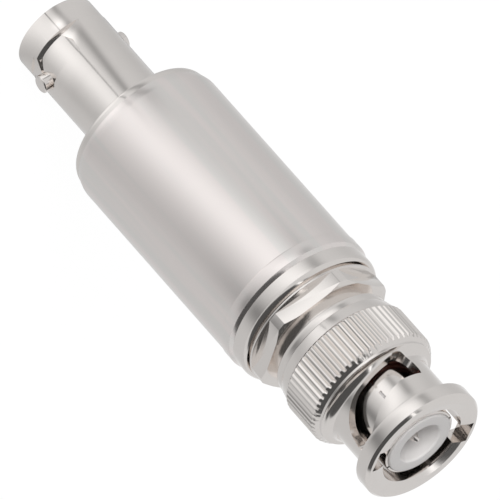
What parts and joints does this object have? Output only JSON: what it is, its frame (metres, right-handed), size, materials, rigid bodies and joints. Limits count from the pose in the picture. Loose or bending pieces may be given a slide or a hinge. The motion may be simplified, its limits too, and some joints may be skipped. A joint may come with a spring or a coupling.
{
  "type": "bnc attenuator",
  "caption": "Inline coaxial attenuator with a round metal housing, a bayonet jack at one end and a bayonet plug with a turning, spring loaded knurled coupling nut at the other.",
  "frame": {"origin": "centre of the jack's mouth, on the plane it stands on", "axes": "+Z along the common axis from the jack to the plug; +X to the side that faces the picture's camera"},
  "size_m": [0.0178, 0.0178, 0.0649],
  "materials": {
    "satin_nickel": "satin nickel plate, fine lengthwise sheen",
    "bright_nickel": "bright nickel plate on turned brass",
    "white_insulator": "white fluoropolymer, soft sheen",
    "contact_gold": "gold plated contact",
    "red_silicone": "dark red brown silicone rubber",
    "spring_steel": "spring steel",
    "ceramic": "alumina with resistive film",
    "brass": "turned brass"
  },
  "bodies": {
    "housing": {"housing_tube": "satin_nickel", "front_cap": "bright_nickel", "rear_cap": "bright_nickel", "plug_nut": "bright_nickel", "jack_nut": "bright_nickel", "jack_body": "bright_nickel", "jack_stud_near": "bright_nickel", "jack_stud_far": "bright_nickel", "jack_insulator": "white_insulator", "jack_socket": "contact_gold", "plug_body": "bright_nickel", "plug_ferrule": "bright_nickel", "plug_insulator": "white_insulator", "plug_pin": "bright_nickel", "plug_gasket": "red_silicone", "wave_washer": "spring_steel", "retaining_ring": "spring_steel", "series_rod": "ceramic", "rear_shunt_disc": "ceramic", "front_shunt_disc": "ceramic", "rear_contact_cup": "brass", "front_contact_cup": "brass", "ground_sleeve": "brass"},
    "washer": {"thrust_washer": "spring_steel"},
    "nut": {"coupling_nut": "bright_nickel", "nut_back_ring": "bright_nickel"}
  },
  "joints": [
    {"name": "nut_slide", "type": "slide", "parent": "housing", "child": "washer", "axis": [0, 0, 1], "range_m": [0, 0.0009], "stiffness_N_per_m": 9000, "springref_m": -0.0004, "deforming": ["wave_washer"]},
    {"name": "nut_turn", "type": "hinge", "parent": "washer", "child": "nut", "pos_m": [0, 0, 0.055], "axis": [0, 0, 1], "continuous": true}
  ]
}
